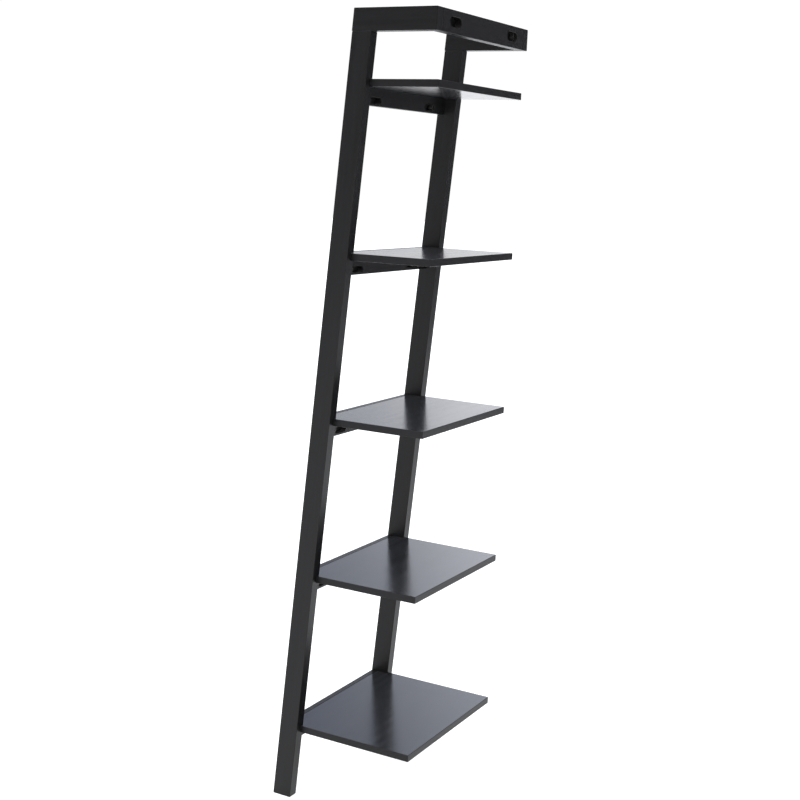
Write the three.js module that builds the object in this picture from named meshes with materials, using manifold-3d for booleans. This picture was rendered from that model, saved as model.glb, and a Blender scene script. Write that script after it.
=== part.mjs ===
// Leaning ladder shelf: two leaning stiles, five shelf boards with front rails,
// and two top arms that reach back to a crossbar on the wall.
//
// Millimetres, +Z up. X is the width, with the right side at +X when the shelf is
// seen from the front. The front faces -Y and the wall is at +Y. The origin is on
// the floor, below the middle of the whole shelf.

import * as THREE from 'three';
import { mergeVertices } from 'three/addons/utils/BufferGeometryUtils.js';
import Module from 'manifold-3d';

const wasm = await Module();
wasm.setup();

// ---------------------------------------------------------------- driving sizes

const TOTAL_HEIGHT = 1920;
const TOTAL_WIDTH = 480;
const FLOOR_DEPTH = 372;          // wall to the front of the stile's foot
const LEAN_DEG = 4.8;             // stile, from the vertical

const STILE_THICKNESS = 28;
const STILE_WIDTH = 50;           // square to the stile's length
const HOUSING_DEPTH = 10;         // slot in the stile that takes a shelf's end

const ARM_HEIGHT = 51;
const ARM_PROUD = 1;              // arm's nose in front of the stile's face
const CROSSBAR_THICKNESS = 22;

const SHELF_COUNT = 5;
const LOWEST_SHELF_TOP = 188;
const TOP_SHELF_DROP = 154;       // highest shelf's top, below the arms' tops
const SHELF_THICKNESS = 17;
const RAIL_THICKNESS = 15;
const RAIL_HEIGHT = 56;

const JOINT_GAP = 0.3;            // between faces that touch

// Stud fittings: a stud in the side board runs through the next board's end into a pocket in
// its back, where a nut pulls on a half-moon washer in the pocket's round end.
const POCKET_BELOW_AXIS = 5.2;    // pocket's floor past the stud's axis
const RAIL_POCKET = { length: 50, height: 15, inset: 54 };      // inset: board's end to pocket
const CROSSBAR_POCKET = { length: 56, height: 22, inset: 34 };
const RAIL_POCKET_DROP = 43;      // pocket's middle below the shelf's top

const STUD_RADIUS = 2.4;
const STUD_CLEARANCE = 0.4;
const STUD_CHAMFER = 0.6;
const STUD_BEYOND_NUT = 2;
const STUD_SCREW_RADIUS = 2.9;
const STUD_SCREW_LENGTH = 18;
const NUT_ACROSS_FLATS = 8;
const NUT_THICKNESS = 4;
const WASHER_FLAT = 2;            // washer's flat past the middle of the pocket's round end
const WASHER_WIDTH = 9.8;
const WASHER_CLEARANCE = 0.3;

const DOWEL_RADIUS = 4;
const DOWEL_LENGTH = 30;
const DOWEL_CHAMFER = 1;
const DOWEL_CLEARANCE = 0.3;
const ARM_DOWEL_SPACING = 28;
const CROSSBAR_DOWEL_DROP = 15;   // below the crossbar's mid-height

const ROUND_SIDES = 20;
const DOWEL_SIDES = 12;
const CUT_OVERRUN = 1;            // cutters run this far past an open face

// ------------------------------------------------------------- places in common

const LEAN = THREE.MathUtils.degToRad(LEAN_DEG);
const WALL_Y = FLOOR_DEPTH / 2;
const INNER_X = TOTAL_WIDTH / 2 - STILE_THICKNESS;
const STILE_X = INNER_X + STILE_THICKNESS / 2;
const STILE_DEPTH = STILE_WIDTH / Math.cos(LEAN);
const STILE_TOP = TOTAL_HEIGHT - ARM_HEIGHT - JOINT_GAP;
const SPAN = 2 * (INNER_X - JOINT_GAP);
const SIDES = [{ name: 'left', sign: -1 }, { name: 'right', sign: 1 }];

/** The stile's front face at height z. */
function stileFrontY(z) {
  return WALL_Y - FLOOR_DEPTH + z * Math.tan(LEAN);
}

const SHELF_PITCH = (TOTAL_HEIGHT - TOP_SHELF_DROP - LOWEST_SHELF_TOP) / (SHELF_COUNT - 1);

/** Levels of the shelves, evenly spaced, the lowest first. */
const LEVELS = Array.from({ length: SHELF_COUNT }, (_, index) => {
  const top = LOWEST_SHELF_TOP + index * SHELF_PITCH;
  const front = stileFrontY(top);
  const railBack = front + RAIL_THICKNESS;
  return {
    label: index + 1,
    top,
    railBack,
    studY: railBack - RAIL_THICKNESS / 2,
    studZ: top - RAIL_POCKET_DROP,
  };
});

const ARM_DOWEL_Y = [-1, 1].map((end) => (
  stileFrontY(STILE_TOP) + STILE_DEPTH / 2 + end * ARM_DOWEL_SPACING / 2));
const CROSSBAR_MID_Y = WALL_Y - CROSSBAR_THICKNESS / 2;
const CROSSBAR_MID_Z = TOTAL_HEIGHT - ARM_HEIGHT / 2;
const CROSSBAR_DOWEL_Z = CROSSBAR_MID_Z - CROSSBAR_DOWEL_DROP;

// ---------------------------------------------------------------- solid helpers

/** A manifold solid from a closed three.js geometry. */
function toSolid(geometry) {
  const bare = geometry.index ? geometry.toNonIndexed() : geometry.clone();
  bare.deleteAttribute('normal');
  bare.deleteAttribute('uv');
  const merged = mergeVertices(bare, 1e-4);
  return new wasm.Manifold(new wasm.Mesh({
    numProp: 3,
    vertProperties: new Float32Array(merged.attributes.position.array),
    triVerts: new Uint32Array(merged.index.array),
  }));
}

/** A three.js geometry from a manifold solid, with flat normals. */
function toGeometry(solid) {
  const mesh = solid.getMesh();
  const geometry = new THREE.BufferGeometry();
  geometry.setAttribute('position', new THREE.BufferAttribute(mesh.vertProperties, 3));
  geometry.setIndex(new THREE.BufferAttribute(mesh.triVerts, 1));
  const flat = geometry.toNonIndexed();
  flat.computeVertexNormals();
  return flat;
}

/** The geometry with each cutter taken out of it. */
function cutAll(geometry, cutters) {
  return toGeometry(cutters.reduce((body, cutter) => body.subtract(toSolid(cutter)), toSolid(geometry)));
}

/** A box between two corners. */
function boxBetween(low, high) {
  const size = high.map((value, axis) => value - low[axis]);
  const middle = high.map((value, axis) => (value + low[axis]) / 2);
  return new THREE.BoxGeometry(...size).translate(...middle);
}

/** A round bar along one axis ('x', 'y' or 'z'), between two places on it. */
function roundBar(axis, radius, from, to, centre = {}, sides = ROUND_SIDES) {
  const bar = new THREE.CylinderGeometry(radius, radius, Math.abs(to - from), sides);
  if (axis === 'x') bar.rotateZ(Math.PI / 2);
  if (axis === 'z') bar.rotateX(Math.PI / 2);
  const offset = { x: 0, y: 0, z: 0, ...centre };
  offset[axis] = (from + to) / 2;
  return bar.translate(offset.x, offset.y, offset.z);
}

/** An outline in Y and Z, made into a board that is centred on X. */
function boardAcross(outline, thickness) {
  const shape = new THREE.Shape(outline.map(([y, z]) => new THREE.Vector2(y, z)));
  const board = new THREE.ExtrudeGeometry(shape, { depth: thickness, bevelEnabled: false });
  board.translate(0, 0, -thickness / 2);
  const toFrame = new THREE.Matrix4().makeBasis(
    new THREE.Vector3(0, 1, 0), new THREE.Vector3(0, 0, 1), new THREE.Vector3(1, 0, 0));
  return board.applyMatrix4(toFrame);
}

/** A turned piece along +Y, from [radius, y] points that start and end on its axis. */
function turned(points, sides) {
  return new THREE.LatheGeometry(points.map(([radius, y]) => new THREE.Vector2(radius, y)), sides);
}

// -------------------------------------------------------------------- materials

function paintedWood(colour) {
  return new THREE.MeshStandardMaterial({ color: colour, roughness: 0.35, metalness: 0 });
}

function steel() {
  return new THREE.MeshStandardMaterial({ color: 0x2c2c2e, roughness: 0.4, metalness: 0.9 });
}

function beech() {
  return new THREE.MeshStandardMaterial({ color: 0xc9a878, roughness: 0.7, metalness: 0 });
}

const FRAME_COLOUR = 0x303032;
const SHELF_COLOUR = 0x343438;

// -------------------------------------------------------------- fitting cutters

/** A pocket and its stud's bore: back face at y = 0, board's end at x = sign * endX. */
function pocketCutters(sign, endX, pocket, z, boardThickness) {
  const radius = pocket.height / 2;
  const outerX = sign * (endX - pocket.inset - radius);
  const innerX = sign * (endX - pocket.inset - pocket.length + radius);
  const studY = -boardThickness / 2;
  const floor = studY - POCKET_BELOW_AXIS;
  return [
    roundBar('y', radius, floor, CUT_OVERRUN, { x: outerX, z }),
    roundBar('y', radius, floor, CUT_OVERRUN, { x: innerX, z }),
    boxBetween(
      [Math.min(outerX, innerX), floor, z - radius],
      [Math.max(outerX, innerX), CUT_OVERRUN, z + radius]),
    roundBar('x', STUD_RADIUS + STUD_CLEARANCE, outerX, sign * (endX + CUT_OVERRUN), { y: studY, z }),
  ];
}

/** The slot in a stile's inner face that a shelf's end slides into from the back. */
function housing(sign, level) {
  const open = -sign * (STILE_THICKNESS / 2 + CUT_OVERRUN);
  const floor = -sign * (STILE_THICKNESS / 2 - HOUSING_DEPTH);
  return boxBetween(
    [Math.min(open, floor), level.railBack, level.top - SHELF_THICKNESS - JOINT_GAP],
    [Math.max(open, floor), WALL_Y, level.top + JOINT_GAP]);
}

/** Blind bore along X into the inner face of a side board that is centred on X. */
function sideBore(sign, radius, depth, y, z) {
  const face = -sign * STILE_THICKNESS / 2;
  return roundBar('x', radius, face - sign * CUT_OVERRUN, face + sign * depth, { y, z });
}

const PILOT_RADIUS = STUD_SCREW_RADIUS + STUD_CLEARANCE;
const PILOT_DEPTH = STUD_SCREW_LENGTH + STUD_CLEARANCE;
const DOWEL_BORE_RADIUS = DOWEL_RADIUS + DOWEL_CLEARANCE;
const DOWEL_BORE_DEPTH = DOWEL_LENGTH / 2 + DOWEL_CLEARANCE;

// ----------------------------------------------------------------------- boards

function stileGeometry(sign) {
  const outline = [
    [stileFrontY(0), 0],
    [stileFrontY(0) + STILE_DEPTH, 0],
    [stileFrontY(STILE_TOP) + STILE_DEPTH, STILE_TOP],
    [stileFrontY(STILE_TOP), STILE_TOP],
  ];
  const shelfCuts = LEVELS.flatMap((level) => [
    sideBore(sign, PILOT_RADIUS, PILOT_DEPTH, level.studY, level.studZ),
    housing(sign, level),
  ]);
  const armBores = ARM_DOWEL_Y.map((y) => roundBar(
    'z', DOWEL_BORE_RADIUS, STILE_TOP - DOWEL_BORE_DEPTH, STILE_TOP + CUT_OVERRUN, { y }));
  return cutAll(boardAcross(outline, STILE_THICKNESS), [...shelfCuts, ...armBores]);
}

function armGeometry(sign) {
  const bottom = TOTAL_HEIGHT - ARM_HEIGHT;
  const outline = [
    [stileFrontY(bottom) - ARM_PROUD, bottom],
    [WALL_Y, bottom],
    [WALL_Y, TOTAL_HEIGHT],
    [stileFrontY(TOTAL_HEIGHT) - ARM_PROUD, TOTAL_HEIGHT],
  ];
  const stileBores = ARM_DOWEL_Y.map((y) => roundBar(
    'z', DOWEL_BORE_RADIUS, bottom - CUT_OVERRUN, bottom + DOWEL_BORE_DEPTH, { y }));
  return cutAll(boardAcross(outline, STILE_THICKNESS), [
    ...stileBores,
    sideBore(sign, PILOT_RADIUS, PILOT_DEPTH, CROSSBAR_MID_Y, CROSSBAR_MID_Z),
    sideBore(sign, DOWEL_BORE_RADIUS, DOWEL_BORE_DEPTH, CROSSBAR_MID_Y, CROSSBAR_DOWEL_Z),
  ]);
}

/** A rail's own frame has its top at z = 0 and its back face at y = 0. */
function railGeometry() {
  const end = SPAN / 2;
  const pockets = SIDES.flatMap(({ sign }) => (
    pocketCutters(sign, end, RAIL_POCKET, -RAIL_POCKET_DROP, RAIL_THICKNESS)));
  return cutAll(boxBetween([-end, -RAIL_THICKNESS, -RAIL_HEIGHT], [end, 0, 0]), pockets);
}

/** A shelf's own frame has its top at z = 0 and the back of its rail at y = 0. */
function shelfGeometry(level) {
  const end = INNER_X + HOUSING_DEPTH - JOINT_GAP;
  const depth = WALL_Y - level.railBack;
  return boxBetween([-end, JOINT_GAP, -SHELF_THICKNESS], [end, depth, 0]);
}

/** The crossbar's own frame has its mid-height at z = 0 and its back face at y = 0. */
function crossbarGeometry() {
  const end = SPAN / 2;
  const half = ARM_HEIGHT / 2;
  const dowel = { y: -CROSSBAR_THICKNESS / 2, z: -CROSSBAR_DOWEL_DROP };
  const cuts = SIDES.flatMap(({ sign }) => [
    ...pocketCutters(sign, end, CROSSBAR_POCKET, 0, CROSSBAR_THICKNESS),
    roundBar('x', DOWEL_BORE_RADIUS, sign * (end - DOWEL_BORE_DEPTH), sign * (end + CUT_OVERRUN), dowel),
  ]);
  return cutAll(boxBetween([-end, -CROSSBAR_THICKNESS, -half], [end, 0, half]), cuts);
}

// --------------------------------------------------------------------- fittings

/** A half-moon washer about the middle of a pocket's round end, which is towards +X. */
function washerGeometry(pocket) {
  const radius = pocket.height / 2 - WASHER_CLEARANCE;
  const half = WASHER_WIDTH / 2;
  const over = radius + CUT_OVERRUN;
  return cutAll(roundBar('y', radius, -half, half), [
    boxBetween([-over, -over, -over], [WASHER_FLAT, over, over]),
    roundBar('x', STUD_RADIUS + STUD_CLEARANCE, 0, over),
  ]);
}

/** A hexagonal nut along X, about its own middle. */
function nutGeometry() {
  const half = NUT_THICKNESS / 2;
  const over = half + CUT_OVERRUN;
  return cutAll(roundBar('x', NUT_ACROSS_FLATS / Math.sqrt(3), -half, half, {}, 6), [
    roundBar('x', STUD_RADIUS + STUD_CLEARANCE, -over, over),
  ]);
}

/** A stud along +Y: y = 0 is the face it screws into, and it reaches back to y = -reach. */
function studGeometry(reach) {
  return turned([
    [0, -reach],
    [STUD_RADIUS - STUD_CHAMFER, -reach],
    [STUD_RADIUS, -reach + STUD_CHAMFER],
    [STUD_RADIUS, JOINT_GAP],
    [STUD_SCREW_RADIUS, JOINT_GAP],
    [STUD_SCREW_RADIUS, STUD_SCREW_LENGTH - STUD_SCREW_RADIUS / 2],
    [0, STUD_SCREW_LENGTH],
  ], ROUND_SIDES);
}

function dowelGeometry() {
  const half = DOWEL_LENGTH / 2;
  const tip = DOWEL_RADIUS - DOWEL_CHAMFER;
  return turned([
    [0, -half],
    [tip, -half],
    [DOWEL_RADIUS, -half + DOWEL_CHAMFER],
    [DOWEL_RADIUS, half - DOWEL_CHAMFER],
    [tip, half],
    [0, half],
  ], DOWEL_SIDES);
}

// --------------------------------------------------------------------- assembly

const ladderShelf = new THREE.Group();

/** Names a piece, puts it in the shelf and gives it its place. */
function addPiece(name, geometry, material, x, y, z) {
  const piece = new THREE.Mesh(geometry, material);
  piece.name = name;
  piece.position.set(x, y, z);
  ladderShelf.add(piece);
  return piece;
}

/** A stud on an axis along X, with its washer and nut in the pocket. */
function addStudFitting(prefix, suffix, sign, pocket, y, z) {
  const washerX = INNER_X - JOINT_GAP - pocket.inset - pocket.height / 2;
  const nutX = washerX + WASHER_FLAT - JOINT_GAP - NUT_THICKNESS / 2;
  const studEndX = nutX - NUT_THICKNESS / 2 - STUD_BEYOND_NUT;
  const washer = addPiece(`${prefix}_washer_${suffix}`, washerGeometry(pocket), steel(), sign * washerX,
    y, z);
  const nut = addPiece(`${prefix}_nut_${suffix}`, nutGeometry(), steel(), sign * nutX, y, z);
  const stud = addPiece(`${prefix}_stud_${suffix}`, studGeometry(INNER_X - studEndX), steel(),
    sign * INNER_X, y, z);
  const turn = sign < 0 ? Math.PI : 0;
  washer.rotation.y = turn;
  nut.rotation.y = turn;
  stud.rotation.z = -sign * Math.PI / 2;
}

/** A dowel along X across the joint at a side board's inner face. */
function addSideDowel(name, sign, y, z) {
  const dowel = addPiece(name, dowelGeometry(), beech(), sign * INNER_X, y, z);
  dowel.rotation.z = Math.PI / 2;
}

for (const { name, sign } of SIDES) {
  addPiece(`stile_${name}`, stileGeometry(sign), paintedWood(FRAME_COLOUR), sign * STILE_X, 0, 0);
  addPiece(`arm_${name}`, armGeometry(sign), paintedWood(FRAME_COLOUR), sign * STILE_X, 0, 0);
  ARM_DOWEL_Y.forEach((y, index) => {
    const place = index === 0 ? 'front' : 'back';
    const dowel = addPiece(`arm_dowel_${place}_${name}`, dowelGeometry(), beech(),
      sign * STILE_X, y, STILE_TOP + JOINT_GAP / 2);
    dowel.rotation.x = Math.PI / 2;
  });
}

addPiece('crossbar', crossbarGeometry(), paintedWood(FRAME_COLOUR), 0, WALL_Y, CROSSBAR_MID_Z);
for (const { name, sign } of SIDES) {
  addStudFitting('crossbar', name, sign, CROSSBAR_POCKET, CROSSBAR_MID_Y, CROSSBAR_MID_Z);
  addSideDowel(`crossbar_dowel_${name}`, sign, CROSSBAR_MID_Y, CROSSBAR_DOWEL_Z);
}

for (const level of LEVELS) {
  addPiece(`shelf_${level.label}`, shelfGeometry(level), paintedWood(SHELF_COLOUR),
    0, level.railBack, level.top);
  addPiece(`rail_${level.label}`, railGeometry(), paintedWood(FRAME_COLOUR),
    0, level.railBack, level.top);
  for (const { name, sign } of SIDES) {
    addStudFitting(`rail_${level.label}`, name, sign, RAIL_POCKET, level.studY, level.studZ);
  }
}

export default ladderShelf;
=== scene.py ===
"""Visual model of the ladder shelf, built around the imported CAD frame. Metres, +Z up."""

import math
import random

import bmesh
import bpy
from mathutils import Euler, Matrix, Vector


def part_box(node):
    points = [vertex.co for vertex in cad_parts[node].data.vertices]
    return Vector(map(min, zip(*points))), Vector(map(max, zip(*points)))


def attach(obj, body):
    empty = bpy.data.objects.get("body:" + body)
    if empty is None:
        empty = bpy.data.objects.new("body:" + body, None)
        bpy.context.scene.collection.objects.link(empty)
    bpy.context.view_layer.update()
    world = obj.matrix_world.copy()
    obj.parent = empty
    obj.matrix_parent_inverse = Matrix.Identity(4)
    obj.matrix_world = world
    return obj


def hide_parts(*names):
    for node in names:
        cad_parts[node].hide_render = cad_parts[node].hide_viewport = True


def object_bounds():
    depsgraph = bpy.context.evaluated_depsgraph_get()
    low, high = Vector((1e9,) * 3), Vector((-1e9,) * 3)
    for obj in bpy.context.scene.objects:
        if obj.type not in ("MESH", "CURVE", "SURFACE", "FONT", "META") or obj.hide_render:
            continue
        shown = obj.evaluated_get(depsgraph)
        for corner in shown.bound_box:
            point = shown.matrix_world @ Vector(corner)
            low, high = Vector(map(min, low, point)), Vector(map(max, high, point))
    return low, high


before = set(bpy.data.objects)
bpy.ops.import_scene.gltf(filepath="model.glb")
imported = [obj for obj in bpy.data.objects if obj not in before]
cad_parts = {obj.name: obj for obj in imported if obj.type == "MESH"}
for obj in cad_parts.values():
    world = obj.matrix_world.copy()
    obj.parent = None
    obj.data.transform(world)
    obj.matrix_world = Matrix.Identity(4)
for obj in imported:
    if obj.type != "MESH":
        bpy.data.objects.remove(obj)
cad_low, cad_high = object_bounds()

random.seed(11)

BODY = "root"
LEVELS = range(1, 6)
SIDES = ("left", "right")
NEARLY_EQUAL = 1e-5              # coordinates closer than this are taken as equal

# Boards
EDGE_RADIUS = 0.0011
EDGE_SEGMENTS = 3
SMOOTH_BELOW = math.radians(38)  # faces that meet at less than this angle are shaded as one
LEVEL_FACE = 0.8                 # a top or bottom face's normal has at least this Z

# Cuts in the boards
CUT_SIDES = 48
FIT_CLEARANCE = 0.0003
STUD_CLEARANCE = 0.0004
HOUSING_OVERSHOOT = 0.01         # how far a cutter passes the face that it opens
POCKET_OVERSHOOT = 0.002
POCKET_FLARE = 0.0005
RIM_MARGIN = 0.002               # a pocket's rim is at least this far inside its board's back face

# Studs, washers and nuts
FITTING_SIDES = 32
FITTING_CHAMFER = 0.0005
NUT_SIDES = 72
HEX_HALF = math.pi / 6           # half of the angle that one side of a hexagon takes
STUD_CHAMFER = 0.0006
STUD_STEP = 0.0001               # the shortest step along a stud
SHANK_INSET = 0.0005             # the shank's radius is less than the coarse thread's by this
SHOULDER = 0.0003                # from the joint between two boards to the stud's step
FINE_PITCH = 0.0008
FINE_DEPTH = 0.00035
FINE_LENGTH = 0.016
FINE_STEPS = 80
COARSE_PITCH = 0.0025
COARSE_DEPTH = 0.0007
COARSE_START = 0.002             # from the joint
COARSE_STEPS = 64
TIP_LENGTH = 0.0015
TIP_RADIUS = 0.0002
THREAD_STEEPNESS = 1.5

# Dowels
DOWEL_CHAMFER = 0.001
FLUTES = 16
FLUTE_DEPTH = 0.00035
SIDES_IN_FLUTE = 6

# Grain under the paint: features to the metre, along it and across it twice, and how much each one counts
PORES = (14, 900, 900)
FIBRES = (3, 160, 160)
BANDS = (0.55, 9, 9)
WAVES = (1.2, 14, 14)
CLOUDS = 5.5
SPECKS = 420.0
PORE_WEIGHT = 0.45
FIBRE_WEIGHT = 0.35
BAND_WEIGHT = 0.06
WAVE_WEIGHT = 0.14
GRAIN_RANGE = (0.35, 0.65)       # the grain's values where the paint is darkest and lightest
BUMP_STRENGTH = 0.25
BUMP_DISTANCE = 0.0006
GRAIN_SHIFT = 4                  # each board's grain is moved by up to this, in metres
GRAIN_TILT = (0.3, 0.03, 0.02)   # and turned by up to this about each axis, in radians

# Edge wear
WEAR_RADIUS = 0.0022
WEAR_SAMPLES = 6
WEAR_TURN = (0.98, 0.80)         # the rounded normal's share of the true one, where wear starts and is full
WEAR_TINT = 0.5
WEAR_ROUGHNESS = 0.12
SPECK_ROUGHNESS = 0.05

# Paints: the colours of the grain's low and high parts and of worn edges, and the range of roughness
FRAME_PAINT = {
    "dark": (0.0032, 0.0032, 0.0034, 1),
    "light": (0.0070, 0.0070, 0.0073, 1),
    "worn": (0.018, 0.016, 0.015, 1),
    "roughness_range": (0.30, 0.40),
    "ior": 1.33,
    "wave_height": 0.3,
}
SHELF_EDGE_PAINT = {
    "dark": (0.0042, 0.0042, 0.0045, 1),
    "light": (0.0090, 0.0090, 0.0098, 1),
    "worn": (0.018, 0.016, 0.015, 1),
    "roughness_range": (0.34, 0.44),
    "ior": 1.33,
    "wave_height": 0.3,
}
# On the shelves' top and bottom faces the paint is lighter and bluer than on their edges: a painted sheen
# over the grain
SHELF_FACE_PAINT_WITH_SHEEN = {
    "dark": (0.0055, 0.0057, 0.0066, 1),
    "light": (0.0230, 0.0240, 0.0275, 1),
    "worn": (0.030, 0.030, 0.032, 1),
    "roughness_range": (0.14, 0.22),
    "ior": 1.58,
    "wave_height": 2.4,
}

# Bare metal and wood
PLATE_DARK = (0.030, 0.030, 0.033, 1)
PLATE_CLOUDY = (0.075, 0.074, 0.072, 1)
BEECH = (0.60, 0.41, 0.21, 1)
BEECH_FLECK = (0.38, 0.22, 0.10, 1)
BEECH_CLOUD = (0.66, 0.48, 0.28, 1)

# Floor
FLOOR_COLOURS = ((0.88, 0.88, 0.88, 1), (0.91, 0.91, 0.91, 1))
FLOOR_RADIUS = 40
FLOOR_SIDES = 96
FLOOR_GLOW = 0.35

# Surround: directions from the middle of the set, and the colours seen in them
BACKDROP_DIRECTION = Vector((-0.883, -0.469, 0))
ACROSS_BACKDROP = Vector((0.469, -0.883, 0))
WORLD_STRENGTH = 2.7
BACKDROP_EDGE = (0.58, 0.82)     # where the backdrop fades in, as a dot product with its direction
ACROSS_EDGE = (-0.16, 0.16)
SHADE_ABOVE = (0.11, 0.17)       # the fall-off across the backdrop starts here, above the camera's view
# From the horizon (0) to overhead (1), at the backdrop and away from it
BEHIND_COLOURS = [
    (0.00, (0.38, 0.38, 0.38)),
    (0.11, (0.38, 0.38, 0.38)),
    (0.17, (0.90, 0.91, 0.97)),
    (0.30, (0.86, 0.90, 1.0)),
    (0.42, (0.70, 0.76, 0.92)),
    (0.60, (0.21, 0.22, 0.26)),
    (1.00, (0.20, 0.21, 0.235)),
]
AROUND_COLOURS = [
    (0.0, (0.10, 0.1025, 0.108)),
    (0.3, (0.12, 0.1225, 0.13)),
    (1.0, (0.20, 0.21, 0.235)),
]
# From one side of the backdrop (0) to the other (1)
ACROSS_COLOURS = [
    (0.0, (0.88, 0.87, 0.85)),
    (0.3, (0.73, 0.73, 0.725)),
    (0.5, (0.50, 0.50, 0.50)),
    (0.7, (0.32, 0.33, 0.35)),
    (1.0, (0.21, 0.22, 0.25)),
]

# Overhead light
OVERHEAD_STRENGTH = 2.9
OVERHEAD_SPREAD = math.radians(100)
OVERHEAD_TILT = (math.radians(12), math.radians(14), 0)

# Dark panel beside the set
FLAG_DIRECTION = Vector((-0.883, 0.469, 0))
FLAG_DISTANCE = 5.5
FLAG_HEIGHT = 6.0
FLAG_HALF_ANGLE = math.radians(42)
FLAG_STEPS = 24
FLAG_COLOURS = ((0.17, 0.17, 0.18, 1), (0.2, 0.2, 0.21, 1))

# Camera
CAMERA_PLACE = (2.8910, 1.5977, 1.5643 + cad_low.z)
CAMERA_AZIMUTH = math.radians(118.912)
CAMERA_ELEVATION = math.radians(9.682)
CAMERA_ROLL = 0.041764
CAMERA_LENS = 60.386
CAMERA_SENSOR = 36

# A Mix node's sockets for colours
MIX_A = 6
MIX_B = 7
MIX_RESULT = 2


# ------------------------------------------------------------------ mesh helpers

def new_piece(name, bm, place=Matrix.Identity(4)):
    """A mesh object whose own frame is place; bm is in that frame."""
    bmesh.ops.recalc_face_normals(bm, faces=bm.faces)
    mesh = bpy.data.meshes.new(name)
    bm.to_mesh(mesh)
    bm.free()
    piece = bpy.data.objects.new(name, mesh)
    bpy.context.scene.collection.objects.link(piece)
    piece.matrix_world = place
    return piece


def frame_at(origin, x_axis, z_axis):
    """A matrix with that origin, X along x_axis and Z close to z_axis."""
    x = Vector(x_axis).normalized()
    y = Vector(z_axis).cross(x).normalized()
    z = x.cross(y)
    return Matrix.Translation(origin) @ Matrix((x, y, z)).transposed().to_4x4()


def side_outline(node):
    """The (y, z) corners of a board's side: low front, low back, high back, high front."""
    points = [v.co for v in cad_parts[node].data.vertices]
    low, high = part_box(node)
    at_low = [p.y for p in points if p.z < low.z + NEARLY_EQUAL]
    at_high = [p.y for p in points if p.z > high.z - NEARLY_EQUAL]
    return [(min(at_low), low.z), (max(at_low), low.z), (max(at_high), high.z), (min(at_high), high.z)]


def grain_frame(node, grain_axis):
    """The frame of a board's grain: X runs along it, as 'lean', 'y' or 'x' says."""
    (y0, z0), (y1, _), (y2, z2), (y3, _) = side_outline(node)
    if grain_axis == "lean":
        return frame_at((0, 0, 0), (0, (y2 + y3 - y0 - y1) / 2, z2 - z0), (1, 0, 0))
    if grain_axis == "y":
        return frame_at((0, 0, 0), (0, 1, 0), (1, 0, 0))
    return frame_at((0, 0, 0), (1, 0, 0), (0, 0, 1))


def board(name, node):
    """A board with rounded edges in the CAD board's place."""
    low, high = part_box(node)
    outline = side_outline(node)
    bm = bmesh.new()
    rings = [[bm.verts.new((x, y, z)) for y, z in outline] for x in (low.x, high.x)]
    bm.faces.new(rings[0])
    bm.faces.new(rings[1])
    for i in range(4):
        j = (i + 1) % 4
        bm.faces.new((rings[0][i], rings[0][j], rings[1][j], rings[1][i]))
    bmesh.ops.recalc_face_normals(bm, faces=bm.faces)
    bmesh.ops.bevel(bm, geom=bm.edges[:], offset=EDGE_RADIUS, offset_type="OFFSET",
                    segments=EDGE_SEGMENTS, profile=0.5, affect="EDGES")
    return new_piece(name, bm)


def prism(name, outlines, place=Matrix.Identity(4)):
    """A closed solid through outlines with equally many points, the first and last of them capped."""
    bm = bmesh.new()
    rings = [[bm.verts.new(point) for point in outline] for outline in outlines]
    for ring, following in zip(rings, rings[1:]):
        for i in range(len(ring)):
            j = (i + 1) % len(ring)
            bm.faces.new((ring[i], ring[j], following[j], following[i]))
    bm.faces.new(rings[0])
    bm.faces.new(rings[-1])
    return new_piece(name, bm, place)


def box_between(name, low, high):
    """A plain box, for a cut."""
    corners = ((low.x, low.y), (high.x, low.y), (high.x, high.y), (low.x, high.y))
    return prism(name, [[(x, y, z) for x, y in corners] for z in (low.z, high.z)])


def turned(name, profile, place, sides, radius_at=None):
    """A closed turned piece about its own X axis, from (x, radius) points. radius_at may shape it further."""
    outlines = []
    for x, radius in profile:
        outline = []
        for step in range(sides):
            angle = 2 * math.pi * step / sides
            r = radius_at(x, radius, angle) if radius_at else radius
            outline.append((x, r * math.cos(angle), r * math.sin(angle)))
        outlines.append(outline)
    return prism(name, outlines, place)


def cut(piece, cutters):
    """Takes each cutter's solid out of the piece."""
    for cutter in cutters:
        modifier = piece.modifiers.new("cut", "BOOLEAN")
        modifier.operation = "DIFFERENCE"
        modifier.solver = "EXACT"
        modifier.object = cutter
    bpy.context.view_layer.update()
    graph = bpy.context.evaluated_depsgraph_get()
    mesh = bpy.data.meshes.new_from_object(piece.evaluated_get(graph))
    piece.modifiers.clear()
    piece.data = mesh
    mesh.name = piece.name


def finish_piece(piece, materials, slot, *nodes):
    """Shading, materials and place in the model. A second material goes on what faces up or down; on the
    shelves that is a lighter, bluer copy of the paint, a painted sheen on their tops and bottoms.
    """
    piece.data.shade_smooth()
    piece.data.set_sharp_from_angle(angle=SMOOTH_BELOW)
    weighted = piece.modifiers.new("weighted_normals", "WEIGHTED_NORMAL")
    weighted.keep_sharp = True
    piece.data.materials.clear()
    for material in materials:
        piece.data.materials.append(material)
    for face in piece.data.polygons:
        level = len(materials) > 1 and abs(face.normal.z) > LEVEL_FACE
        face.material_index = 1 if level else 0
    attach(piece, BODY)
    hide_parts(*nodes)


# --------------------------------------------------------------------- materials

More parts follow.
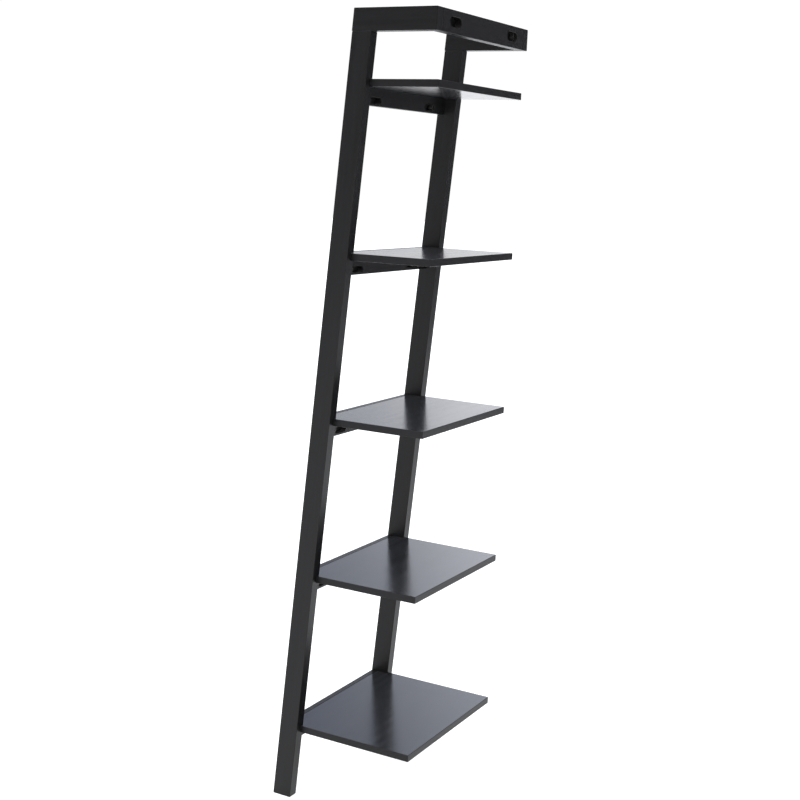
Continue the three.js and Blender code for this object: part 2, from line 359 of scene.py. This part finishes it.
class Nodes:
    """A short way to build a node tree."""

    def __init__(self, tree):
        self.tree = tree

    def add(self, kind, settings=None, **inputs):
        """A node with these settings and inputs; an input's name has _ for a space."""
        node = self.tree.nodes.new(kind)
        for key, value in (settings or {}).items():
            setattr(node, key, value)
        for key, value in inputs.items():
            self.feed(node.inputs[key.replace("_", " ")], value)
        return node

    def feed(self, socket, value):
        """Links an output to the socket, or sets the socket's own value."""
        if isinstance(value, bpy.types.NodeSocket):
            self.tree.links.new(value, socket)
        else:
            socket.default_value = value

    def place(self, kind):
        """Coordinates of that kind."""
        return self.add("ShaderNodeTexCoord").outputs[kind]

    def maths(self, operation, a, b):
        node = self.add("ShaderNodeMath", {"operation": operation})
        self.feed(node.inputs[0], a)
        self.feed(node.inputs[1], b)
        return node.outputs[0]

    def weighted(self, a, a_weight, b, b_weight):
        """The sum of two values, each times its weight."""
        return self.maths("ADD", self.maths("MULTIPLY", a, a_weight), self.maths("MULTIPLY", b, b_weight))

    def dot(self, a, b):
        """The dot product of two vectors."""
        node = self.add("ShaderNodeVectorMath", {"operation": "DOT_PRODUCT"})
        self.feed(node.inputs[0], a)
        self.feed(node.inputs[1], b)
        return node.outputs["Value"]

    def remap(self, value, source, target=(0, 1), shape="LINEAR"):
        """The value moved from one range to another, and kept within it."""
        node = self.add("ShaderNodeMapRange", {"interpolation_type": shape}, Value=value)
        for key, number in zip(("From Min", "From Max", "To Min", "To Max"), (*source, *target)):
            node.inputs[key].default_value = number
        return node.outputs["Result"]

    def mix(self, factor, a, b, kind="MIX"):
        """Two colours, mixed or multiplied."""
        node = self.add("ShaderNodeMix", {"data_type": "RGBA", "blend_type": kind})
        self.feed(node.inputs["Factor"], factor)
        self.feed(node.inputs[MIX_A], a)
        self.feed(node.inputs[MIX_B], b)
        return node.outputs[MIX_RESULT]

    def ramp(self, value, stops):
        """A colour that follows the value through (position, colour) stops."""
        node = self.add("ShaderNodeValToRGB", Fac=value)
        node.color_ramp.interpolation = "EASE"
        while len(node.color_ramp.elements) < len(stops):
            node.color_ramp.elements.new(0.5)
        for element, (position, colour) in zip(node.color_ramp.elements, stops):
            element.position = position
            element.color = (*colour, 1)
        return node.outputs["Color"]

    def noise(self, vector, scale, detail=3.0, roughness=0.5):
        node = self.add("ShaderNodeTexNoise", Vector=vector, Scale=scale, Detail=detail, Roughness=roughness)
        return node.outputs["Fac"]

    def stretched(self, vector, scale, offset=(0, 0, 0), turn=(0, 0, 0)):
        """The coordinates turned, scaled and moved."""
        node = self.add("ShaderNodeMapping", Vector=vector, Location=offset, Rotation=turn, Scale=scale)
        return node.outputs["Vector"]


class MaterialNodes(Nodes):
    """The node tree of a new material."""

    def __init__(self, name):
        self.material = bpy.data.materials.new(name)
        self.material.use_nodes = True
        super().__init__(self.material.node_tree)
        self.shader = self.tree.nodes["Principled BSDF"]

    def set(self, **inputs):
        """Values or links for the shader's inputs; an input's name has _ for a space."""
        for key, value in inputs.items():
            self.feed(self.shader.inputs[key.replace("_", " ")], value)

    def bump(self, height, strength, distance):
        node = self.add("ShaderNodeBump", Strength=strength, Distance=distance, Height=height)
        self.set(Normal=node.outputs["Normal"])


def painted_wood(name, grain_place, dark, light, worn, roughness_range, ior, wave_height):
    """Black paint on wood: the grain shows through as faint ridges, and the paint is thin along edges."""
    n = MaterialNodes(name)
    place = n.place("Object")
    shift = tuple(random.uniform(-GRAIN_SHIFT, GRAIN_SHIFT) for _ in range(3))
    tilt = Euler([random.uniform(-most, most) for most in GRAIN_TILT])
    turn = (tilt.to_matrix() @ grain_place.to_3x3().inverted()).to_euler()
    local = n.stretched(place, (1, 1, 1), shift, turn)

    pores = n.noise(n.stretched(local, PORES), 1.0, 4.0, 0.6)
    fibres = n.noise(n.stretched(local, FIBRES), 1.0, 3.0, 0.5)
    waves = n.noise(n.stretched(local, WAVES), 1.0, 2.0, 0.4)
    bands = n.add("ShaderNodeTexWave", {"wave_type": "RINGS", "rings_direction": "X"},
                  Vector=n.stretched(local, BANDS), Scale=1.6, Distortion=3.2, Detail=2.0,
                  Detail_Scale=0.9).outputs["Fac"]
    clouds = n.noise(local, CLOUDS, 2.0)
    specks = n.noise(local, SPECKS, 2.0)
    ridges = n.weighted(pores, PORE_WEIGHT, fibres, FIBRE_WEIGHT)
    grain = n.maths("ADD", ridges, n.weighted(bands, BAND_WEIGHT, waves, WAVE_WEIGHT))

    rounded = n.add("ShaderNodeBevel", {"samples": WEAR_SAMPLES}, Radius=WEAR_RADIUS).outputs["Normal"]
    facing = n.dot(rounded, n.add("ShaderNodeNewGeometry").outputs["Normal"])
    wear = n.maths("MULTIPLY", n.remap(facing, WEAR_TURN), n.remap(clouds, (0.35, 0.7), (0.15, 1.0)))

    colour = n.mix(n.remap(grain, GRAIN_RANGE), dark, light)
    colour = n.mix(n.maths("MULTIPLY", wear, WEAR_TINT), colour, worn)
    roughness = n.maths("ADD", n.remap(grain, (0.3, 0.7), roughness_range),
                        n.remap(specks, (0.4, 0.7), (0.0, SPECK_ROUGHNESS)))
    roughness = n.maths("ADD", roughness, n.maths("MULTIPLY", wear, WEAR_ROUGHNESS))
    n.set(Base_Color=colour, Roughness=roughness, IOR=ior)
    height = n.maths("ADD", ridges, n.maths("MULTIPLY", waves, wave_height))
    n.bump(height, BUMP_STRENGTH, BUMP_DISTANCE)
    return n.material


def plated_steel():
    """Black plate: brushed turning marks with cloudy passivation."""
    n = MaterialNodes("black_plate")
    place = n.place("Object")
    marks = n.noise(n.stretched(place, (2600, 300, 300)), 1.0, 2.0)
    clouds = n.noise(place, 260.0, 3.0)
    n.set(Base_Color=n.mix(clouds, PLATE_DARK, PLATE_CLOUDY),
          Roughness=n.remap(marks, (0.3, 0.7), (0.28, 0.48)), Metallic=0.9)
    n.bump(marks, 0.2, 0.0002)
    return n.material


def bare_beech():
    """Bare beech with short darker flecks along the grain."""
    n = MaterialNodes("bare_beech")
    place = n.place("Object")
    flecks = n.noise(n.stretched(place, (160, 1500, 1500)), 1.0, 3.0, 0.6)
    clouds = n.noise(place, 60.0, 2.0)
    colour = n.mix(n.remap(flecks, (0.45, 0.75)), BEECH, BEECH_FLECK)
    colour = n.mix(n.maths("MULTIPLY", clouds, 0.4), colour, BEECH_CLOUD)
    n.set(Base_Color=colour, Roughness=n.remap(flecks, (0.3, 0.7), (0.55, 0.75)))
    n.bump(flecks, 0.3, 0.0002)
    return n.material


# ---------------------------------------------------------------------- fittings

def side_sign(node):
    """-1 for a fitting on the left side of the shelf, 1 on the right."""
    low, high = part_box(node)
    return math.copysign(1, low.x + high.x)


def along_side(node):
    """A fitting's frame, at its inner end on its own axis with X running out to its side, and its length."""
    low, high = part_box(node)
    sign = side_sign(node)
    start = Vector((low.x if sign > 0 else high.x, (low.y + high.y) / 2, (low.z + high.z) / 2))
    return frame_at(start, (sign, 0, 0), (0, 0, 1)), high.x - low.x


def pocket_corners(host, sign):
    """The low and high corners of the pocket in a board's back face, at one end of it."""
    low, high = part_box(host)
    points = [v.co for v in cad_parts[host].data.vertices if v.co.x * sign > 0]
    on_back = [p for p in points if p.y > high.y - NEARLY_EQUAL]
    rim = [p for p in on_back if low.z + RIM_MARGIN < p.z < high.z - RIM_MARGIN
           and abs(p.x) < high.x - RIM_MARGIN]
    xs = [p.x for p in rim]
    zs = [p.z for p in rim]
    floor = min(p.y for p in points if abs(p.z - max(zs)) < NEARLY_EQUAL)
    return Vector((min(xs), floor, min(zs))), Vector((max(xs), high.y, max(zs)))


ladder_materials = {"dark_steel": plated_steel(), "beech_dowel": bare_beech()}


def build_boards():
    """Each board's piece and the frame of its grain, by node name."""
    grains = {f"stile_{side}": "lean" for side in SIDES}
    grains |= {f"arm_{side}": "y" for side in SIDES}
    grains["crossbar"] = "x"
    for level in LEVELS:
        grains[f"shelf_{level}"] = "x"
        grains[f"rail_{level}"] = "x"
    return {node: (board(f"{node}_board", node), grain_frame(node, axis)) for node, axis in grains.items()}


boards = build_boards()
cutters = {name: [] for name in boards}


def add_housing(level, side):
    """The slot in a stile that a shelf's end sits in."""
    low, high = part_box(f"shelf_{level}")
    gap = Vector((FIT_CLEARANCE,) * 3)
    low, high = low - gap, high + gap
    high.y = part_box(f"stile_{side}")[1].y + HOUSING_OVERSHOOT
    cutters[f"stile_{side}"].append(box_between(f"housing_{level}_{side}", low, high))


def add_pocket(prefix, side, host):
    """The long pocket in a board's back, with round ends and a softened rim. Returns its ends' radius."""
    low, high = pocket_corners(host, side_sign(f"{prefix}_nut_{side}"))
    middle_z = (low.z + high.z) / 2
    radius = (high.z - low.z) / 2
    steps = CUT_SIDES // 2

    def outline(y, grow):
        points = []
        for end_x, start in ((high.x - radius, -math.pi / 2), (low.x + radius, math.pi / 2)):
            for step in range(steps + 1):
                angle = start + math.pi * step / steps
                points.append((end_x + (radius + grow) * math.cos(angle), y,
                               middle_z + (radius + grow) * math.sin(angle)))
        return points

    flared = 2 * POCKET_FLARE
    cutters[host].append(prism(f"pocket_{prefix}_{side}", [
        outline(low.y, 0),
        outline(high.y - POCKET_FLARE, 0),
        outline(high.y + POCKET_FLARE, flared),
        outline(high.y + POCKET_OVERSHOOT, flared),
    ]))
    return radius


def add_washer(prefix, side, pocket_radius):
    """A half-moon washer that fills the pocket's round end."""
    node = f"{prefix}_washer_{side}"
    low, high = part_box(node)
    sign = side_sign(node)
    radius = pocket_radius - FIT_CLEARANCE
    apex = high.x if sign > 0 else low.x
    centre = Vector((apex - sign * radius, 0, (low.z + high.z) / 2))
    flat = abs((low.x if sign > 0 else high.x) - centre.x)
    widest = math.acos(flat / radius)

    def outline(y, shrink):
        steps = CUT_SIDES // 2
        angles = [widest * (2 * step / steps - 1) for step in range(steps + 1)]
        r = radius - shrink
        return [(centre.x + sign * max(r * math.cos(a), flat + shrink), y, centre.z + r * math.sin(a))
                for a in angles]

    return prism(node + "_body", [
        outline(low.y, FITTING_CHAMFER),
        outline(low.y + FITTING_CHAMFER, 0),
        outline(high.y - FITTING_CHAMFER, 0),
        outline(high.y, FITTING_CHAMFER),
    ])


def add_nut(prefix, side):
    """A hexagonal nut with its corners chamfered at both ends."""
    node = f"{prefix}_nut_{side}"
    place, length = along_side(node)
    low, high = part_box(node)
    corner = max(high.y - low.y, high.z - low.z) / 2
    half_flats = corner * math.cos(HEX_HALF)
    turn = 0.0 if high.y - low.y > high.z - low.z else HEX_HALF

    def hexagon(x, limit, angle):
        across = (angle - turn) % (2 * HEX_HALF) - HEX_HALF
        return min(half_flats / math.cos(across), limit)

    profile = [(0, half_flats), (FITTING_CHAMFER, corner), (length - FITTING_CHAMFER, corner),
               (length, half_flats)]
    return turned(node + "_body", profile, place, NUT_SIDES, hexagon)


def add_stud(prefix, side, host, anchor):
    """A stud from the pocket into the side board: a fine thread at the nut, a coarse one in the wood."""
    node = f"{prefix}_stud_{side}"
    place, length = along_side(node)
    anchor_low, anchor_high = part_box(anchor)
    anchor_face = anchor_low.x if side_sign(node) > 0 else anchor_high.x
    joint = abs(anchor_face - place.translation.x)
    low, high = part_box(node)
    screw = (high.z - low.z) / 2
    shank = screw - SHANK_INSET
    coarse_start = joint + COARSE_START
    tip = length - TIP_LENGTH

    def threads(x, radius, angle):
        if x < FINE_LENGTH:
            pitch, depth = FINE_PITCH, FINE_DEPTH
        elif coarse_start < x < tip:
            pitch, depth = COARSE_PITCH, COARSE_DEPTH
        else:
            return radius
        phase = (x / pitch - angle / (2 * math.pi)) % 1
        return radius - depth * min(1.0, abs(2 * phase - 1) * THREAD_STEEPNESS)

    def evenly(start, end, steps):
        return [start + (end - start) * i / steps for i in range(steps + 1)]

    profile = [(0, shank - STUD_CHAMFER), (STUD_CHAMFER, shank)]
    profile += [(x, shank) for x in evenly(STUD_CHAMFER + STUD_STEP, FINE_LENGTH, FINE_STEPS)]
    profile += [(joint + SHOULDER, shank), (joint + SHOULDER + STUD_STEP, screw)]
    profile += [(x, screw) for x in evenly(coarse_start, tip, COARSE_STEPS)]
    profile += [(tip + STUD_CHAMFER, screw - COARSE_DEPTH), (length, TIP_RADIUS)]
    stud = turned(node + "_body", profile, place, FITTING_SIDES, threads)
    finish_piece(stud, [ladder_materials["dark_steel"]], "dark_steel", node)

    bore = turned(f"bore_{node}", [
        (0, shank + STUD_CLEARANCE),
        (joint, shank + STUD_CLEARANCE),
        (joint, screw + STUD_CLEARANCE),
        (length + STUD_CLEARANCE, screw + STUD_CLEARANCE),
    ], place, FITTING_SIDES)
    cutters[host].append(bore)
    cutters[anchor].append(bore)
    return bore


def add_stud_fitting(prefix, side, host, anchor):
    """A pocket with its stud, washer and nut, and the bore that runs through them."""
    pocket_radius = add_pocket(prefix, side, host)
    bore = add_stud(prefix, side, host, anchor)
    for kind, piece in (("washer", add_washer(prefix, side, pocket_radius)), ("nut", add_nut(prefix, side))):
        cut(piece, [bore])
        finish_piece(piece, [ladder_materials["dark_steel"]], "dark_steel", f"{prefix}_{kind}_{side}")


def add_dowel(node, host, anchor):
    """A fluted dowel across the joint between two boards, and its bore in both."""
    low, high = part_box(node)
    size = high - low
    across, up = (1, 0, 0), (0, 0, 1)
    axis, helper = (across, up) if size.x > size.z else (up, across)
    place = frame_at((low + high) / 2, axis, helper)
    half = max(size.x, size.z) / 2
    radius = size.y / 2

    def fluted(x, r, angle):
        return r - FLUTE_DEPTH * max(0.0, math.cos(FLUTES * angle)) ** 2

    profile = [(-half, radius - DOWEL_CHAMFER), (-half + DOWEL_CHAMFER, radius),
               (half - DOWEL_CHAMFER, radius), (half, radius - DOWEL_CHAMFER)]
    dowel = turned(node + "_body", profile, place, FLUTES * SIDES_IN_FLUTE, fluted)
    finish_piece(dowel, [ladder_materials["beech_dowel"]], "beech_dowel", node)
    bore_radius = radius + FIT_CLEARANCE
    bore_half = half + FIT_CLEARANCE
    bore = turned(f"bore_{node}", [(-bore_half, bore_radius), (bore_half, bore_radius)], place, FITTING_SIDES)
    cutters[host].append(bore)
    cutters[anchor].append(bore)


for side in SIDES:
    for level in LEVELS:
        add_housing(level, side)
        add_stud_fitting(f"rail_{level}", side, f"rail_{level}", f"stile_{side}")
    add_stud_fitting("crossbar", side, "crossbar", f"arm_{side}")
    add_dowel(f"crossbar_dowel_{side}", "crossbar", f"arm_{side}")
    for place_name in ("front", "back"):
        add_dowel(f"arm_dowel_{place_name}_{side}", f"stile_{side}", f"arm_{side}")

for name, (piece, _) in boards.items():
    if cutters[name]:
        cut(piece, cutters[name])
used_cutters = {cutter.name: cutter for board_cutters in cutters.values() for cutter in board_cutters}
for cutter in used_cutters.values():
    bpy.data.objects.remove(cutter)

for name, (piece, grain) in boards.items():
    if name.startswith("shelf"):
        edges = painted_wood(f"shelf_edge_paint_{name}", grain, **SHELF_EDGE_PAINT)
        # The faces' copy of the paint is lighter and bluer than the edges': a painted sheen on the shelves'
        # tops and bottoms
        faces = painted_wood(f"shelf_face_paint_{name}", grain, **SHELF_FACE_PAINT_WITH_SHEEN)
        finish_piece(piece, [edges, faces], "shelf_paint", name)
    else:
        finish_piece(piece, [painted_wood(f"frame_paint_{name}", grain, **FRAME_PAINT)], "frame_paint", name)


# ----------------------------------------------------------------- studio, camera

def pale_floor():
    """A wide pale floor that glows a little, so it stays white around the shelf."""
    bm = bmesh.new()
    bmesh.ops.create_circle(bm, cap_ends=True, radius=FLOOR_RADIUS, segments=FLOOR_SIDES)
    floor = new_piece("floor", bm, Matrix.Translation((0, 0, cad_low.z)))
    n = MaterialNodes("floor_paper")
    mottle = n.noise(n.place("Object"), 3.0, 2.0)
    n.set(Base_Color=n.mix(mottle, *FLOOR_COLOURS), Roughness=0.9, Specular_IOR_Level=0.0,
          Emission_Color=(1, 1, 1, 1), Emission_Strength=FLOOR_GLOW)
    floor.data.materials.append(n.material)


def studio_world():
    """A soft surround: white low down behind the shelf, with a bluish fall-off above and across it."""
    world = bpy.data.worlds.new("studio")
    bpy.context.scene.world = world
    world.use_nodes = True
    n = Nodes(world.node_tree)
    direction = n.place("Generated")
    height = n.add("ShaderNodeSeparateXYZ", Vector=direction).outputs["Z"]

    behind = n.ramp(height, BEHIND_COLOURS)
    around = n.ramp(height, AROUND_COLOURS)
    side_share = n.remap(n.dot(direction, ACROSS_BACKDROP), ACROSS_EDGE, shape="SMOOTHSTEP")
    shade_share = n.remap(height, SHADE_ABOVE, shape="SMOOTHSTEP")
    shaded = n.mix(shade_share, behind, n.ramp(side_share, ACROSS_COLOURS), "MULTIPLY")
    backdrop_share = n.remap(n.dot(direction, BACKDROP_DIRECTION), BACKDROP_EDGE, shape="SMOOTHSTEP")
    background = n.tree.nodes["Background"]
    n.feed(background.inputs["Color"], n.mix(backdrop_share, around, shaded))
    n.feed(background.inputs["Strength"], WORLD_STRENGTH)


def overhead_light():
    """One broad soft light from above, without shadows."""
    data = bpy.data.lights.new("overhead", "SUN")
    data.energy = OVERHEAD_STRENGTH
    data.angle = OVERHEAD_SPREAD
    data.use_shadow = False
    light = bpy.data.objects.new("overhead", data)
    light.rotation_euler = OVERHEAD_TILT
    bpy.context.scene.collection.objects.link(light)


def dark_flag():
    """A dark curved panel beside the set, which only reflections show. It calms them, as in a studio."""
    bm = bmesh.new()
    middle = math.atan2(FLAG_DIRECTION.y, FLAG_DIRECTION.x)
    rings = []
    for step in range(FLAG_STEPS + 1):
        angle = middle + FLAG_HALF_ANGLE * (2 * step / FLAG_STEPS - 1)
        spot = (FLAG_DISTANCE * math.cos(angle), FLAG_DISTANCE * math.sin(angle))
        rings.append([bm.verts.new((*spot, 0.0)), bm.verts.new((*spot, FLAG_HEIGHT))])
    for a, b in zip(rings, rings[1:]):
        bm.faces.new((a[0], b[0], b[1], a[1]))
    flag = new_piece("flag", bm)
    n = MaterialNodes("flag_cloth")
    mottle = n.noise(n.place("Object"), 8.0)
    n.set(Base_Color=n.mix(mottle, *FLAG_COLOURS), Roughness=1.0)
    flag.data.materials.append(n.material)
    flag.visible_camera = False
    flag.visible_diffuse = False
    flag.visible_shadow = False


def camera():
    """The photograph's view: from behind the shelf, a little above its middle."""
    back = Vector((math.sin(CAMERA_AZIMUTH) * math.cos(CAMERA_ELEVATION),
                   -math.cos(CAMERA_AZIMUTH) * math.cos(CAMERA_ELEVATION),
                   math.sin(CAMERA_ELEVATION)))
    right = (-back).cross(Vector((0, 0, 1))).normalized()
    up = right.cross(-back)
    x_axis = math.cos(CAMERA_ROLL) * right + math.sin(CAMERA_ROLL) * up
    y_axis = math.cos(CAMERA_ROLL) * up - math.sin(CAMERA_ROLL) * right
    data = bpy.data.cameras.new("camera")
    data.lens = CAMERA_LENS
    data.sensor_width = CAMERA_SENSOR
    eye = bpy.data.objects.new("camera", data)
    turn = Matrix((x_axis, y_axis, back)).transposed().to_4x4()
    eye.matrix_world = Matrix.Translation(CAMERA_PLACE) @ turn
    bpy.context.scene.collection.objects.link(eye)
    bpy.context.scene.camera = eye


pale_floor()
studio_world()
overhead_light()
dark_flag()
camera()
bpy.context.scene.view_settings.view_transform = "Standard"
